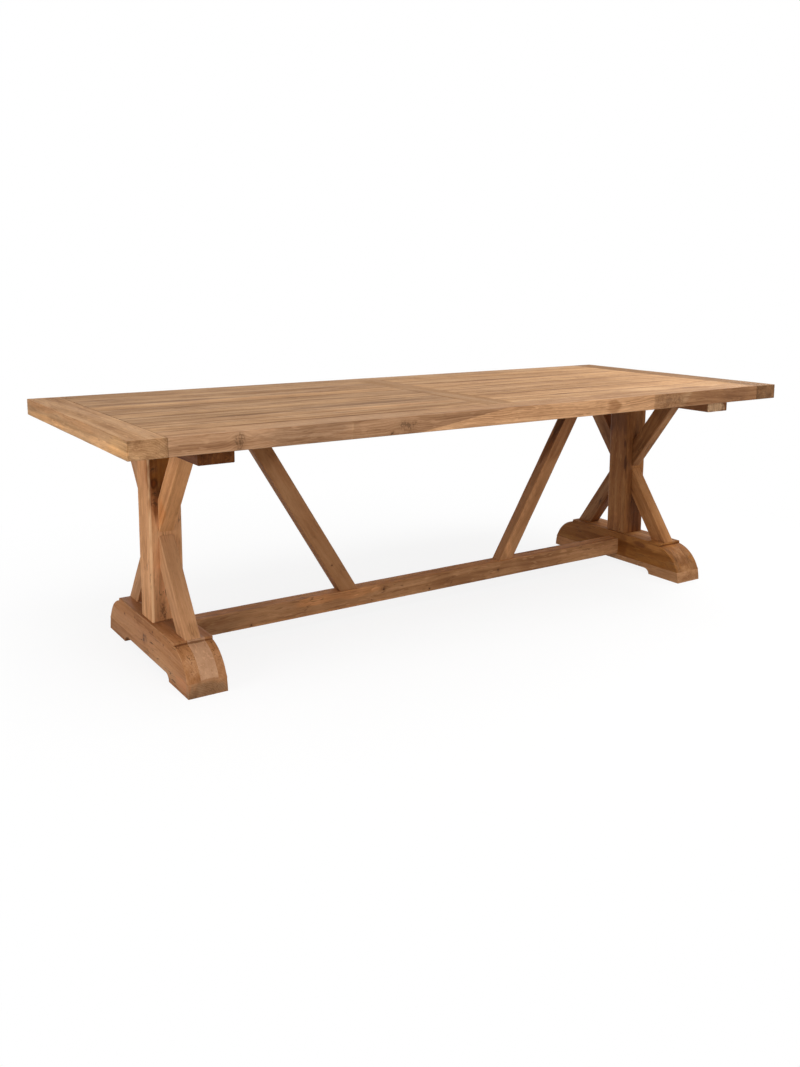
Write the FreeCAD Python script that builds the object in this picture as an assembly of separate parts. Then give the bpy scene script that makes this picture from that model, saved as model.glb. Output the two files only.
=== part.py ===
import FreeCAD, Part
import math
import os

# A trestle dining table of solid reclaimed teak: a framed plank top on two X-braced trestles,
# tied together by a low stretcher and two raking struts. Millimetres, +Z up, X along the table.
# The origin is on the floor under the middle of the top.

# Overall size
table_length = 2500.0
table_width = 1000.0
table_height = 770.0
top_thickness = 52.0

# Top: two end boards, two long rails, a middle cross board and planks filling both bays
end_board_width = 105.0
rail_width = 95.0
cross_board_width = 105.0
left_plank_widths = (85.0, 95.0, 105.0, 93.0, 108.0, 107.0, 122.0, 95.0)
right_plank_widths = (96.0, 119.0, 102.0, 116.0, 84.0, 93.0, 100.0, 100.0)
tongue_thickness = 14.0
tongue_depth = 12.0
groove_depth = 13.0
groove_stop = 30.0
edge_ease = 1.5

# Trestles
trestle_offset = 994.0
post_side = 102.0
post_corner_radius = 8.0
tenon_width = 36.0
tenon_length = 60.0
foot_tenon_depth = 34.0
bearer_tenon_depth = 24.0
bearer_length = 890.0
bearer_width = 105.0
bearer_thickness = 40.0
brace_thickness = 48.0
brace_height_at_post = 102.0
brace_gap = 8.0
upper_brace_toe = 252.0
lower_brace_toe = 245.0
long_edge_radius = 3.0

# Feet: a core between two cheeks, nearer the inner side, on a sole that is relieved between its two pads
foot_length = 700.0
foot_width = 120.0
foot_height = 132.0
foot_core_width = 53.0
foot_core_shift = 8.0
sole_thickness = 40.0
foot_step_half_length = 246.0
nose_radius = 124.0
relief_depth = 19.0
relief_half_length = 172.0
relief_corner_radius = 25.0

# Stretcher and raking struts
stretcher_width = 55.0
stretcher_height = 62.0
stretcher_underside = 46.0
stretcher_tenon_width = 30.0
stretcher_tenon_height = 36.0
stretcher_tenon_length = 45.0
left_strut_width = 59.0
right_strut_width = 55.0
strut_thickness = 45.0
strut_foot_outer = 377.5
strut_angle = math.radians(58.7)
batten_length = 600.0
batten_width = 110.0
batten_thickness = 24.0

# Hidden fixings
dowel_diameter = 10.0
dowel_length = 60.0
dowel_inset = 14.0
brace_dowel_spacing = 26.0
strut_dowel_spacing = 15.0
batten_dowel_sink = 18.0
bearer_dowel_sink = 26.0
hole_clearance = 0.6
screw_diameter = 6.0
screw_head_diameter = 12.0
screw_head_height = 4.0
screw_grip = 30.0
screw_side_offset = 34.0
screw_post_gap = 12.0
screw_end_margin = 12.0

# Levels and distances that follow from the sizes above
half_length = table_length / 2
half_width = table_width / 2
top_underside = table_height - top_thickness
tongue_low = table_height - top_thickness / 2 - tongue_thickness / 2
tongue_high = tongue_low + tongue_thickness
bay_edge = half_width - rail_width
end_joint = half_length - end_board_width
bearer_underside = top_underside - bearer_thickness
half_post = post_side / 2
brace_middle = (foot_height + bearer_underside) / 2
brace_rise = brace_middle - brace_gap / 2 - foot_height
stretcher_top = stretcher_underside + stretcher_height
batten_underside = top_underside - batten_thickness
strut_lean = (batten_underside - stretcher_top) / math.tan(strut_angle)
foot_inner_face = trestle_offset - foot_width / 2

# An edge rising less than the first share of its length is level, more than the second is plumb
level_limit = 0.1
plumb_limit = 0.99
parallel_limit = 1e-6

UP = FreeCAD.Vector(0, 0, 1)
DOWN = FreeCAD.Vector(0, 0, -1)


def box(x_low, x_high, y_low, y_high, z_low, z_high):
    """A plain block between two corners."""
    corner = FreeCAD.Vector(x_low, y_low, z_low)
    return Part.makeBox(x_high - x_low, y_high - y_low, z_high - z_low, corner)


def prism(corners, run):
    """A straight-sided outline pushed along one vector."""
    points = [FreeCAD.Vector(*corner) for corner in corners]
    return Part.Face(Part.makePolygon(points + points[:1])).extrude(FreeCAD.Vector(*run))


def rounded_along(shape, direction, radius):
    """The same piece with its edges along one direction eased to a radius."""
    edges = []
    for edge in shape.Edges:
        if edge.tangentAt(edge.FirstParameter).cross(direction).Length < parallel_limit:
            edges.append(edge)
    return shape.makeFillet(radius, edges)


def eased_rake(shape):
    """A raking piece with its long edges eased: the edges that are neither level nor plumb."""
    edges = []
    for edge in shape.Edges:
        rise = abs(edge.tangentAt(edge.FirstParameter).z)
        if level_limit < rise < plumb_limit:
            edges.append(edge)
    return shape.makeFillet(long_edge_radius, edges)


def rod(start, direction, length, diameter):
    """A round rod from a point along a direction."""
    return Part.makeCylinder(diameter / 2, length, start, direction)


def save(name, shape):
    """One file for each piece."""
    shape.exportStep("parts/" + name + ".step")


# Fixings are collected while the pieces that they join are drilled
bearer_screws = []
batten_screws = []
brace_dowels = []
strut_dowels = []


def screw(x, y, head_level, length):
    """A countersunk wood screw driven upwards, head flush with the underside it enters."""
    head = Part.makeCone(screw_head_diameter / 2, screw_diameter / 2, screw_head_height,
                         FreeCAD.Vector(x, y, head_level), UP)
    return head.fuse(rod(FreeCAD.Vector(x, y, head_level), UP, length, screw_diameter))


def screw_hole(x, y, head_level, length):
    """The countersunk hole that a screw sits in."""
    head = Part.makeCone((screw_head_diameter + hole_clearance) / 2, (screw_diameter + hole_clearance) / 2,
                         screw_head_height + hole_clearance, FreeCAD.Vector(x, y, head_level), UP)
    start = FreeCAD.Vector(x, y, head_level)
    return head.fuse(rod(start, UP, length + hole_clearance, screw_diameter + hole_clearance))


def dowel(centre, direction, sink):
    """A dowel across a joint: it sinks this far along the direction and the rest stays behind."""
    start = centre - direction * (dowel_length - sink)
    return rod(start, direction, dowel_length, dowel_diameter)


def dowel_hole(centre, direction, sink):
    """The hole for a dowel, a little wider and longer than the dowel itself."""
    start = centre - direction * (dowel_length - sink + hole_clearance)
    length = dowel_length + 2 * hole_clearance
    return rod(start, direction, length, dowel_diameter + hole_clearance)


# Table top

def plank_edges(widths):
    """Front and back edge of each plank in a bay, from the front rail to the back rail."""
    edges = []
    front = -bay_edge
    for width in widths:
        edges.append((front, front + width))
        front += width
    return edges


def lengthwise_profile(front, back, x, front_side, back_side):
    """Section of a lengthwise board: a groove or nothing in front, a tongue or nothing behind."""
    outline = [(x, front, top_underside), (x, back, top_underside)]
    if back_side == "tongue":
        outline += [(x, back, tongue_low), (x, back + tongue_depth, tongue_low),
                    (x, back + tongue_depth, tongue_high), (x, back, tongue_high)]
    outline += [(x, back, table_height - edge_ease), (x, back - edge_ease, table_height)]
    outline += [(x, front + edge_ease, table_height), (x, front, table_height - edge_ease)]
    if front_side == "groove":
        outline += [(x, front, tongue_high), (x, front + groove_depth, tongue_high),
                    (x, front + groove_depth, tongue_low), (x, front, tongue_low)]
    return outline


def plank(left, right, front, back):
    """A plank with a groove in front, a tongue behind and a tongue on each end."""
    body = prism(lengthwise_profile(front, back, left, "groove", "tongue"), (right - left, 0, 0))
    for start in (left - tongue_depth, right):
        end_tongue = box(start, start + tongue_depth, front + groove_depth, back + tongue_depth,
                         tongue_low, tongue_high)
        body = body.fuse(end_tongue)
    return body.removeSplitter()


def front_rail():
    """The long board of the front edge, with a tongue towards the planks and tenons in the end boards."""
    body = prism(lengthwise_profile(-half_width, -bay_edge, -end_joint, "plain", "tongue"),
                 (2 * end_joint, 0, 0))
    tenon = box(-end_joint - tongue_depth, end_joint + tongue_depth, -half_width + groove_stop,
                -bay_edge + tongue_depth, tongue_low, tongue_high)
    return body.fuse(tenon).removeSplitter()


def back_rail():
    """The long board of the back edge, grooved for the last plank of each bay."""
    body = prism(lengthwise_profile(bay_edge, half_width, -end_joint, "groove", "plain"),
                 (2 * end_joint, 0, 0))
    for side in (-1, 1):
        near, far = sorted((side * end_joint, side * (end_joint + tongue_depth)))
        tenon = box(near, far, bay_edge + groove_depth, half_width - groove_stop, tongue_low, tongue_high)
        body = body.fuse(tenon)
    return body.removeSplitter()


def end_board(side):
    """A board across the end of the top, with a stopped groove that takes every tongue and tenon."""
    near, far = sorted((side * end_joint, side * half_length))
    body = rounded_along(box(near, far, -half_width, half_width, top_underside, table_height),
                         FreeCAD.Vector(0, 1, 0), edge_ease)
    near, far = sorted((side * end_joint, side * (end_joint + groove_depth)))
    groove = box(near, far, -half_width + groove_stop, half_width - groove_stop, tongue_low, tongue_high)
    return body.cut(groove)


def cross_board():
    """The board across the middle of the top, grooved on both sides for the planks' ends."""
    half = cross_board_width / 2
    body = prism(lengthwise_profile(-bay_edge, bay_edge, -half, "groove", "tongue"),
                 (cross_board_width, 0, 0))
    for near, far in ((-half, -half + groove_depth), (half - groove_depth, half)):
        body = body.cut(box(near, far, -bay_edge, bay_edge + tongue_depth, tongue_low, tongue_high))
    return body


def screw_places(widths, trestle_side):
    """Where the bearer's screws go up into the planks and rails, clear of the post below."""
    places = []
    for number, (front, back) in enumerate(plank_edges(widths)):
        middle = (front + back) / 2
        if abs(middle) > half_post + screw_post_gap:
            offset = screw_side_offset * (-1) ** number
            places.append((trestle_side * trestle_offset + offset, middle))
    for rail_side in (-1, 1):
        y = rail_side * (bearer_length / 2 - screw_end_margin)
        places.append((trestle_side * trestle_offset, y))
    return places


def strut_level_width(side):
    """How wide a strut is along its level cuts."""
    width = left_strut_width if side < 0 else right_strut_width
    return width / math.sin(strut_angle)


def batten_middle(side):
    """How far from the table's middle a batten lies: over the middle of its strut's head."""
    return strut_foot_outer + strut_lean - strut_level_width(side) / 2


def batten_screw_places(widths, side):
    """Where the batten's screws go up into the planks, clear of the strut's head."""
    places = []
    for number, (front, back) in enumerate(plank_edges(widths)):
        middle = (front + back) / 2
        clear_of_strut = abs(middle) > strut_thickness / 2 + screw_post_gap
        if clear_of_strut and abs(middle) < batten_length / 2 - screw_end_margin:
            offset = screw_side_offset * (-1) ** number
            places.append((side * batten_middle(side) + offset, middle))
    return places


def drilled(shape, holes):
    """The piece with every hole that reaches it cut out."""
    for hole in holes:
        if shape.BoundBox.intersect(hole.BoundBox):
            shape = shape.cut(hole)
    return shape


def make_top():
    """End boards, rails, middle cross board and the planks of both bays, drilled from below."""
    holes = []
    for side, widths in ((-1, left_plank_widths), (1, right_plank_widths)):
        for x, y in screw_places(widths, side):
            length = bearer_thickness + screw_grip
            bearer_screws.append(screw(x, y, bearer_underside, length))
            holes.append(screw_hole(x, y, bearer_underside, length))
        for x, y in batten_screw_places(widths, side):
            length = batten_thickness + screw_grip
            batten_screws.append(screw(x, y, batten_underside, length))
            holes.append(screw_hole(x, y, batten_underside, length))
    save("left_end_board", end_board(-1))
    save("right_end_board", end_board(1))
    save("front_rail", drilled(front_rail(), holes))
    save("back_rail", drilled(back_rail(), holes))
    save("middle_cross_board", cross_board())
    bays = (("left", -end_joint, -cross_board_width / 2, left_plank_widths),
            ("right", cross_board_width / 2, end_joint, right_plank_widths))
    for name, left, right, widths in bays:
        for number, (front, back) in enumerate(plank_edges(widths), start=1):
            save(f"{name}_plank_{number}", drilled(plank(left, right, front, back), holes))
    return holes


# Trestles

def nose_reach(level):
    """How far the foot's rounded nose reaches from the middle at a height above the floor."""
    return foot_length / 2 - nose_radius + math.sqrt(nose_radius ** 2 - level ** 2)


def nose_arc(side, low, high):
    """The nose's arc between two heights, at the front (-1) or the back (1)."""
    points = []
    for level in (low, (low + high) / 2, high):
        points.append(FreeCAD.Vector(0, side * nose_reach(level), level))
    return Part.Arc(*points).toShape()


def line(start, end):
    """A straight edge in the trestle's own plane, from (y, z) to (y, z)."""
    return Part.LineSegment(FreeCAD.Vector(0, *start), FreeCAD.Vector(0, *end)).toShape()


def slab(edges, x_low, x_high):
    """An outline in the trestle's plane made as thick as the piece."""
    wire = Part.Wire(Part.sortEdges(edges)[0])
    face = Part.Face(wire)
    face.translate(FreeCAD.Vector(x_low, 0, 0))
    return face.extrude(FreeCAD.Vector(x_high - x_low, 0, 0))


def foot_outline():
    """The upper foot: flat top, a small step down near each end, then the rounded nose."""
    shoulder_offset = foot_step_half_length - (foot_length / 2 - nose_radius)
    shoulder = math.sqrt(nose_radius ** 2 - shoulder_offset ** 2)
    step = foot_step_half_length
    base = nose_reach(sole_thickness)
    edges = [line((-base, sole_thickness), (base, sole_thickness)),
             line((-step, foot_height), (step, foot_height))]
    for side in (-1, 1):
        edges.append(nose_arc(side, sole_thickness, shoulder))
        edges.append(line((side * step, shoulder), (side * step, foot_height)))
    return edges


def sole_outline():
    """The sole: the lowest part of the noses, and a relief between the pads with coved ends."""
    base = nose_reach(sole_thickness)
    centre_level = relief_depth - relief_corner_radius
    pad_start = relief_half_length + math.sqrt(relief_corner_radius ** 2 - centre_level ** 2)
    middle_level = relief_depth / 2
    above_centre = middle_level - centre_level
    middle_reach = relief_half_length + math.sqrt(relief_corner_radius ** 2 - above_centre ** 2)
    edges = [line((-base, sole_thickness), (base, sole_thickness)),
             line((-relief_half_length, relief_depth), (relief_half_length, relief_depth))]
    for side in (-1, 1):
        edges.append(nose_arc(side, 0, sole_thickness))
        edges.append(line((side * foot_length / 2, 0), (side * pad_start, 0)))
        cove = Part.Arc(FreeCAD.Vector(0, side * relief_half_length, relief_depth),
                        FreeCAD.Vector(0, side * middle_reach, middle_level),
                        FreeCAD.Vector(0, side * pad_start, 0))
        edges.append(cove.toShape())
    return edges


def post(x):
    """A square post with eased corners and a tenon at each end."""
    shaft = box(x - half_post, x + half_post, -half_post, half_post, foot_height, bearer_underside)
    return rounded_along(shaft, UP, post_corner_radius).fuse(post_tenons(x)).removeSplitter()


def post_tenons(x):
    """One slim block through the post: what stands out at each end is a tenon."""
    return box(x - tenon_width / 2, x + tenon_width / 2, -tenon_length / 2, tenon_length / 2,
               foot_height - foot_tenon_depth, bearer_underside + bearer_tenon_depth)


def brace_toes(up_or_down):
    """How far a brace's toe reaches from the trestle's middle: its inner and outer corner."""
    outer = upper_brace_toe if up_or_down > 0 else lower_brace_toe
    inner = half_post + (outer - half_post) * (1 - brace_height_at_post / brace_rise)
    return inner, outer


def brace(x, front_or_back, up_or_down):
    """One arm of the X, cut plumb against the post and level against the bearer or the foot."""
    toe_level = bearer_underside if up_or_down > 0 else foot_height
    inner_toe, outer_toe = brace_toes(up_or_down)
    near_level = brace_middle + up_or_down * brace_gap / 2
    far_level = near_level + up_or_down * brace_height_at_post
    corners = ((half_post, near_level), (half_post, far_level),
               (inner_toe, toe_level), (outer_toe, toe_level))
    x_low = x - brace_thickness / 2
    body = prism([(x_low, front_or_back * y, z) for y, z in corners], (brace_thickness, 0, 0))
    return eased_rake(body)


def brace_joints(x, front_or_back, up_or_down):
    """Centre, direction and depth of the dowels at a brace's post end and toe end."""
    toe_level = bearer_underside if up_or_down > 0 else foot_height
    toe_sink = bearer_dowel_sink if up_or_down > 0 else dowel_length / 2
    inner_toe = brace_toes(up_or_down)[0]
    far_level = brace_middle + up_or_down * (brace_gap / 2 + brace_height_at_post)
    joints = []
    for inset in (dowel_inset, dowel_inset + brace_dowel_spacing):
        at_post = FreeCAD.Vector(x, front_or_back * half_post, far_level - up_or_down * inset)
        joints.append((at_post, FreeCAD.Vector(0, -front_or_back, 0), dowel_length / 2))
        at_toe = FreeCAD.Vector(x, front_or_back * (inner_toe + inset), toe_level)
        joints.append((at_toe, UP if up_or_down > 0 else DOWN, toe_sink))
    return joints


def make_trestle(name, side, screw_holes):
    """Bearer, post, four braces and the four pieces of the foot."""
    x = side * trestle_offset
    holes = []
    braces = {}
    for facing, front_or_back in (("front", -1), ("back", 1)):
        for level, up_or_down in (("upper", 1), ("lower", -1)):
            braces[f"{name}_{facing}_{level}_brace"] = brace(x, front_or_back, up_or_down)
            for joint in brace_joints(x, front_or_back, up_or_down):
                brace_dowels.append(dowel(*joint))
                holes.append(dowel_hole(*joint))
    for brace_name, shape in braces.items():
        save(brace_name, drilled(shape, holes))
    save(f"{name}_post", drilled(post(x), holes))
    bearer = rounded_along(box(x - bearer_width / 2, x + bearer_width / 2, -bearer_length / 2,
                               bearer_length / 2, bearer_underside, top_underside),
                           FreeCAD.Vector(0, 1, 0), long_edge_radius)
    save(f"{name}_bearer", drilled(bearer.cut(post_tenons(x)), holes + screw_holes))
    core_outer = x + side * (foot_core_width / 2 - foot_core_shift)
    core_inner = x - side * (foot_core_width / 2 + foot_core_shift)
    near, far = sorted((core_outer, core_inner))
    core = slab(foot_outline(), near, far).cut(post_tenons(x)).cut(stretcher_bar())
    save(f"{name}_foot_core", drilled(core, holes))
    for cheek, joint, face in (("outer", core_outer, x + side * foot_width / 2),
                               ("inner", core_inner, x - side * foot_width / 2)):
        near, far = sorted((joint, face))
        save(f"{name}_foot_{cheek}_cheek", slab(foot_outline(), near, far).cut(stretcher_bar()))
    save(f"{name}_foot_sole", slab(sole_outline(), x - foot_width / 2, x + foot_width / 2))


# Stretcher, struts and battens

def stretcher_bar():
    """The stretcher between the feet, with a tenon on each end that enters the foot."""
    body = rounded_along(box(-foot_inner_face, foot_inner_face, -stretcher_width / 2, stretcher_width / 2,
                             stretcher_underside, stretcher_top),
                         FreeCAD.Vector(1, 0, 0), long_edge_radius)
    reach = foot_inner_face + stretcher_tenon_length
    level = stretcher_underside + (stretcher_height - stretcher_tenon_height) / 2
    tenons = box(-reach, reach, -stretcher_tenon_width / 2, stretcher_tenon_width / 2,
                 level, level + stretcher_tenon_height)
    return body.fuse(tenons).removeSplitter()


def strut(side):
    """A raking strut from the stretcher's top face to the batten under the planks, cut level at both ends."""
    foot_inner = strut_foot_outer - strut_level_width(side)
    corners = ((foot_inner, stretcher_top), (strut_foot_outer, stretcher_top),
               (strut_foot_outer + strut_lean, batten_underside), (foot_inner + strut_lean, batten_underside))
    body = prism([(side * x, -strut_thickness / 2, z) for x, z in corners], (0, strut_thickness, 0))
    return eased_rake(body)


def strut_joints(side):
    """Centre, direction and depth of the dowels at a strut's foot and head."""
    head_inner = strut_foot_outer + strut_lean - strut_level_width(side)
    joints = []
    for inset in (dowel_inset, dowel_inset + strut_dowel_spacing):
        foot = FreeCAD.Vector(side * (strut_foot_outer - inset), 0, stretcher_top)
        joints.append((foot, DOWN, dowel_length / 2))
        head = FreeCAD.Vector(side * (head_inner + inset), 0, batten_underside)
        joints.append((head, UP, batten_dowel_sink))
    return joints


def batten(side):
    """A short cross batten under the planks, where a strut's head lands."""
    middle = side * batten_middle(side)
    body = box(middle - batten_width / 2, middle + batten_width / 2, -batten_length / 2, batten_length / 2,
               batten_underside, top_underside)
    return rounded_along(body, FreeCAD.Vector(0, 1, 0), long_edge_radius)


def make_links(screw_holes):
    """The stretcher, and a strut with its batten towards each end."""
    holes = []
    for side in (-1, 1):
        for joint in strut_joints(side):
            strut_dowels.append(dowel(*joint))
            holes.append(dowel_hole(*joint))
    save("stretcher", drilled(stretcher_bar(), holes))
    for name, side in (("left", -1), ("right", 1)):
        save(f"{name}_strut", drilled(strut(side), holes))
        save(f"{name}_batten", drilled(batten(side), holes + screw_holes))


os.makedirs("parts", exist_ok=True)
top_screw_holes = make_top()
make_trestle("left", -1, top_screw_holes)
make_trestle("right", 1, top_screw_holes)
make_links(top_screw_holes)
save("bearer_screws", Part.makeCompound(bearer_screws))
save("batten_screws", Part.makeCompound(batten_screws))
save("brace_dowels", Part.makeCompound(brace_dowels))
save("strut_dowels", Part.makeCompound(strut_dowels))
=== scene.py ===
import math

import bmesh
import bpy
from mathutils import Matrix, Vector, noise


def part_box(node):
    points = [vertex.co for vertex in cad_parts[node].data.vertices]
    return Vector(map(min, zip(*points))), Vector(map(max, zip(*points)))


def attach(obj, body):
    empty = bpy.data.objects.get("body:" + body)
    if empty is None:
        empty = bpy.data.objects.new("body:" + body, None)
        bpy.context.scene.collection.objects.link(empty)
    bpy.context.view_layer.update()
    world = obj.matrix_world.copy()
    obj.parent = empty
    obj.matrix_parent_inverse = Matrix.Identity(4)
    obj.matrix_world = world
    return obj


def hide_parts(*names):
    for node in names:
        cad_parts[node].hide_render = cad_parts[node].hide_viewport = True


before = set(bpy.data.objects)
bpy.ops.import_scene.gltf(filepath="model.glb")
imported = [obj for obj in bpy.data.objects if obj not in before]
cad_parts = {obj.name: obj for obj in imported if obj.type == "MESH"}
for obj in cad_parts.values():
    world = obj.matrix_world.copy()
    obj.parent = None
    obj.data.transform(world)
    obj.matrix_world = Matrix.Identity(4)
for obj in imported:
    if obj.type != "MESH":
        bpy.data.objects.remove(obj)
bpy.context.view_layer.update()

# Soles of the feet
# Each foot stands on one teak block, band-sawn to the round of the nose at both ends.
# Its underside is hollowed between two pads, and the upper foot is glued on top of it.
trestle_x = 0.994
foot_width = 0.120
foot_outer_face, foot_inner_face = trestle_x + foot_width / 2, trestle_x - foot_width / 2
foot_half_length = 0.350
nose_radius = 0.124
sole_thickness = 0.040
relief_depth = 0.019
relief_half_length = 0.172
relief_corner_radius = 0.025
foot_step_half_length = 0.246
foot_arris = 0.0028
hand_waves, arris_rub = 0.0006, 0.0012
glue_gap = 0.0001


def straight(start, end, gap=0.03):
    """Points along a straight saw cut, without the last one."""
    first, last = Vector(start), Vector(end)
    count = max(1, math.ceil((last - first).length / gap))
    return [first.lerp(last, step / count) for step in range(count)]


def sawn_arc(centre, radius, first, last, count=10):
    """Points along a band-sawn arc between two angles in degrees, without the last one."""
    points = []
    for step in range(count):
        angle = math.radians(first + (last - first) * step / count)
        points.append(Vector((centre[0] + radius * math.cos(angle), centre[1] + radius * math.sin(angle))))
    return points


def nose_angle(level):
    """Where the nose's arc reaches a height above the floor, in degrees."""
    return math.degrees(math.asin(level / nose_radius))


def mirrored_outline(half):
    """A whole outline from its front half, which runs from the bottom middle to the top middle."""
    return half + [Vector((-point.x, point.y)) for point in reversed(half)]


def sole_outline():
    """The sole seen from the end of the table: pad, nose and hollow."""
    nose_centre = (-foot_half_length + nose_radius, 0.0)
    cove_centre = (-relief_half_length, relief_depth - relief_corner_radius)
    cove_end = 180 - math.degrees(math.asin(-cove_centre[1] / relief_corner_radius))
    pad_start = cove_centre[0] + relief_corner_radius * math.cos(math.radians(cove_end))
    crown = nose_centre[0] - nose_radius * math.cos(math.radians(nose_angle(sole_thickness)))
    half = straight((-0.005, relief_depth), (-relief_half_length, relief_depth))
    half += sawn_arc(cove_centre, relief_corner_radius, 90, cove_end, 6)
    half += straight((pad_start, 0.0), (-foot_half_length, 0.0))
    half += sawn_arc(nose_centre, nose_radius, 180, 180 - nose_angle(sole_thickness), 6)
    half += straight((crown, sole_thickness), (0.0, sole_thickness))
    return mirrored_outline(half)


def outward(outline):
    """The outward direction at each point of an outline that runs clockwise or anticlockwise."""
    area = sum(a.cross(b) for a, b in zip(outline, outline[1:] + outline[:1]))
    turn = 1 if area > 0 else -1
    normals = []
    for index, point in enumerate(outline):
        before = (point - outline[index - 1]).normalized()
        after = (outline[(index + 1) % len(outline)] - point).normalized()
        run = (before + after).normalized()
        normals.append(Vector((run.y, -run.x)) * turn)
    return normals


def unevenness(place, seed, depth):
    """How far a hand-finished surface lies below true at a place: gentle waves, never proud."""
    waves = noise.noise(place * 7 + Vector((seed * 3.1, 0, seed))) * 0.7
    ripples = noise.noise(place * 31 + Vector((0, seed * 2.3, seed))) * 0.3
    return depth * (0.5 + 0.5 * max(-1.0, min(1.0, waves + ripples)))


def arris_wear(place, seed, depth):
    """How far a corner is rubbed back at a place: mostly little, here and there a dent."""
    rub = max(0.0, noise.noise(place * 9 + Vector((seed, seed * 1.7, 0))))
    chip = max(0.0, noise.noise(place * 38 + Vector((0, seed, seed * 2.9))) - 0.35)
    return depth * (0.6 * rub + 2.2 * chip)


def finished_piece(node, rings, middle, along, across, seed, tone, warmth, teak_finish):
    """A piece skinned over rings of (point, edge, end grain) that keeps where its grain runs."""
    third = along.cross(across)
    per_ring = len(rings[0])
    places = [entry for ring in rings for entry in ring]
    faces = []
    for ring in range(len(rings) - 1):
        for step in range(per_ring):
            right = (step + 1) % per_ring
            low, high = ring * per_ring, (ring + 1) * per_ring
            faces.append((low + step, low + right, high + right, high + step))
    faces.append(tuple(range(per_ring)))
    faces.append(tuple(range((len(rings) - 1) * per_ring, len(rings) * per_ring)))
    mesh = bpy.data.meshes.new(node + "_wood")
    mesh.from_pydata([place for place, edge, end in places], [], faces)
    shell = bmesh.new()
    shell.from_mesh(mesh)
    bmesh.ops.recalc_face_normals(shell, faces=shell.faces)
    shell.to_mesh(mesh)
    shell.free()
    heart = Vector((0.055 + 0.03 * math.sin(seed * 2.1), -0.075 + 0.03 * math.cos(seed * 3.7)))
    grain, look = [], []
    for place, edge, end in places:
        inside = place - middle
        grain += (inside.dot(along) + seed * 5.3, inside.dot(across) + heart.x, inside.dot(third) + heart.y)
        look += (tone, warmth, edge)
    mesh.attributes.new("grain", "FLOAT_VECTOR", "POINT").data.foreach_set("vector", grain)
    mesh.attributes.new("look", "FLOAT_VECTOR", "POINT").data.foreach_set("vector", look)
    end_grain = [end for place, edge, end in places]
    mesh.attributes.new("end_grain", "FLOAT", "POINT").data.foreach_set("value", end_grain)
    mesh.polygons.foreach_set("use_smooth", [True] * len(mesh.polygons))
    mesh.set_sharp_from_angle(angle=math.radians(50))
    mesh.materials.append(teak_finish)
    piece = bpy.data.objects.new(node + "_wood", mesh)
    bpy.context.scene.collection.objects.link(piece)
    flatness = piece.modifiers.new("flat_faces", "WEIGHTED_NORMAL")
    flatness.keep_sharp = True
    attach(piece, "root")
    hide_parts(node)
    return piece


def foot_layer(node, outline, left_arris, right_arris, seed, tone, warmth, teak_finish):
    """One layer of a foot: its outline pushed across the foot, with eased or tight edges."""
    low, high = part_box(node)
    normals = outward(outline)
    steps = [(0.0, 1.0, 0.0), (0.3, 0.3, 1.0), (1.0, 0.0, 0.0)]
    levels = [(low.x + left_arris * run, left_arris * inset, edge) for run, inset, edge in steps]
    levels += [(low.x + (high.x - low.x) * share, 0.0, 0.0) for share in (0.33, 0.67)]
    levels += [(high.x - right_arris * run, right_arris * inset, edge)
               for run, inset, edge in reversed(steps)]
    rings = []
    for x, inset, arris_edge in levels:
        ring = []
        for point, normal in zip(outline, normals):
            place = Vector((x, point.x, point.y))
            glued = abs(point.y - sole_thickness) < 0.001
            edge = 0.0 if glued else arris_edge
            back = glue_gap if glued else inset + unevenness(place, seed, hand_waves)
            if edge and left_arris + right_arris > 0.001:
                back += arris_wear(place, seed, arris_rub)
            moved = point - normal * back
            if point.y < 0.0005:
                moved.y = 0.0
            ring.append((Vector((x, moved.x, moved.y)), edge, abs(normal.x) ** 3))
        rings.append(ring)
    middle = (low + high) / 2
    return finished_piece(node, rings, middle, Vector((0, 1, 0)), Vector((1, 0, 0)), seed, tone, warmth,
                          teak_finish)


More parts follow.
